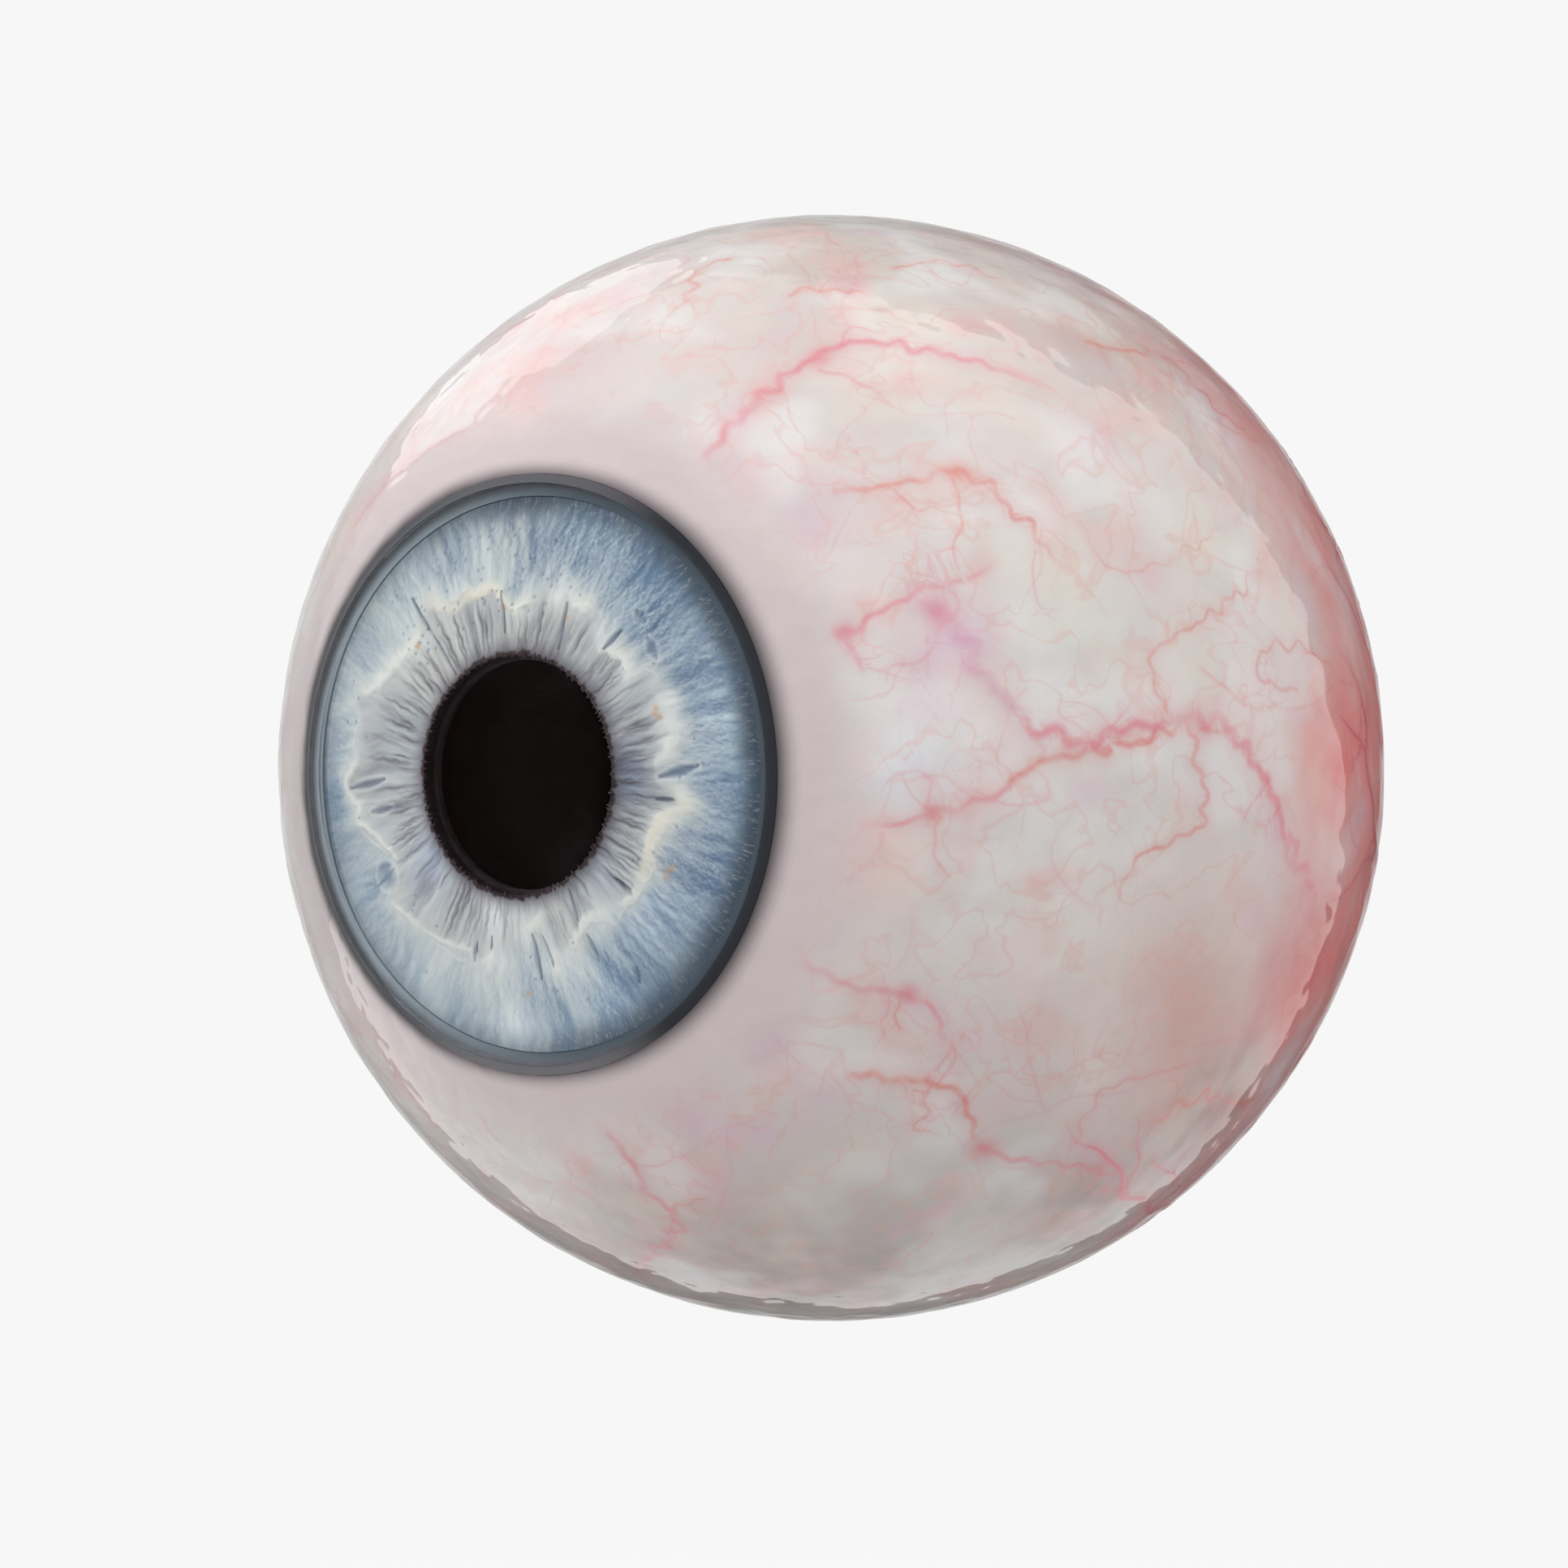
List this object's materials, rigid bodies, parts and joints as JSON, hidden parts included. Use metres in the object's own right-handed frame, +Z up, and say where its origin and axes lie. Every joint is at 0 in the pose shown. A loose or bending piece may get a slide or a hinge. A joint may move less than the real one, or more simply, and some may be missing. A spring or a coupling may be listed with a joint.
{
  "type": "eye anatomy model",
  "caption": "Take-apart eyeball, five times life size: a globe in two halves, with cornea, iris, lens and vitreous that lift out and an optic nerve that takes a stand rod.",
  "frame": {"origin": "centre of the mouth of the stand rod's socket, in the cut end of the optic nerve", "axes": "+Z up, -Y forwards out of the pupil along the visual axis, +Y out of the socket, +X towards the temple"},
  "size_m": [0.12, 0.1422, 0.12],
  "materials": {
    "sclera_rear": "painted off-white and pink, red vessels, glossy clear coat",
    "sclera_front": "painted off-white with pink vessels, glossy clear coat",
    "choroid": "satin dark red-brown",
    "retina": "satin orange-red with painted vessels",
    "macula": "satin yellow-brown",
    "nerve_sheath": "satin flesh",
    "nerve_fibre": "satin cream-yellow, dotted fibre bundles on the cut end",
    "artery_red": "glossy red",
    "vein_blue": "glossy blue",
    "bush_brass": "turned",
    "magnet": "nickel plated",
    "pin_steel": "ground",
    "ciliary": "satin brown-red",
    "limbus": "charcoal, soft edges",
    "cornea_clear": "clear polished acrylic",
    "iris": "painted blue-grey with pale radial fibres",
    "iris_pigment": "dark red-brown",
    "lens_clear": "clear, slightly milky",
    "zonule": "natural nylon",
    "vitreous_clear": "clear polished acrylic"
  },
  "bodies": {
    "rear_half": {"sclera_rear_shell": "sclera_rear", "choroid_rear_shell": "choroid", "retina_rear_cup": "retina", "macula_inlay": "macula", "nerve_sheath": "nerve_sheath", "nerve_core": "nerve_fibre", "central_retinal_artery": "artery_red", "central_retinal_vein": "vein_blue", "stand_rod_bush": "bush_brass", "rear_seam_magnets": "magnet", "locating_pin": "pin_steel"},
    "front_half": {"sclera_front_shell": "sclera_front", "choroid_front_shell": "choroid", "retina_front_band": "retina", "ciliary_body": "ciliary", "limbus_ring": "limbus", "front_seam_magnets": "magnet"},
    "cornea": {"cornea_dome": "cornea_clear"},
    "iris": {"iris_stroma": "iris", "iris_pigment_layer": "iris_pigment"},
    "lens": {"lens_body": "lens_clear", "zonule_ring": "zonule"},
    "vitreous": {"vitreous_bowl": "vitreous_clear", "vitreous_front_dish": "vitreous_clear"}
  },
  "joints": [
    {"name": "front_half_slide", "type": "slide", "parent": "rear_half", "child": "front_half", "axis": [0, -1, 0], "range_m": [0, 0.25]},
    {"name": "vitreous_slide", "type": "slide", "parent": "rear_half", "child": "vitreous", "axis": [0, -1, 0], "range_m": [0, 0.125]},
    {"name": "cornea_slide", "type": "slide", "parent": "front_half", "child": "cornea", "axis": [0, -1, 0], "range_m": [0, 0.1]},
    {"name": "iris_slide", "type": "slide", "parent": "front_half", "child": "iris", "axis": [0, -1, 0], "range_m": [0, 0.06]},
    {"name": "lens_slide", "type": "slide", "parent": "front_half", "child": "lens", "axis": [0, -1, 0], "range_m": [0, 0.03]}
  ],
  "couplings": [
    {"joint": "vitreous_slide", "follows": "front_half_slide", "ratio": 0.5},
    {"joint": "iris_slide", "follows": "cornea_slide", "ratio": 0.6},
    {"joint": "lens_slide", "follows": "cornea_slide", "ratio": 0.3}
  ]
}
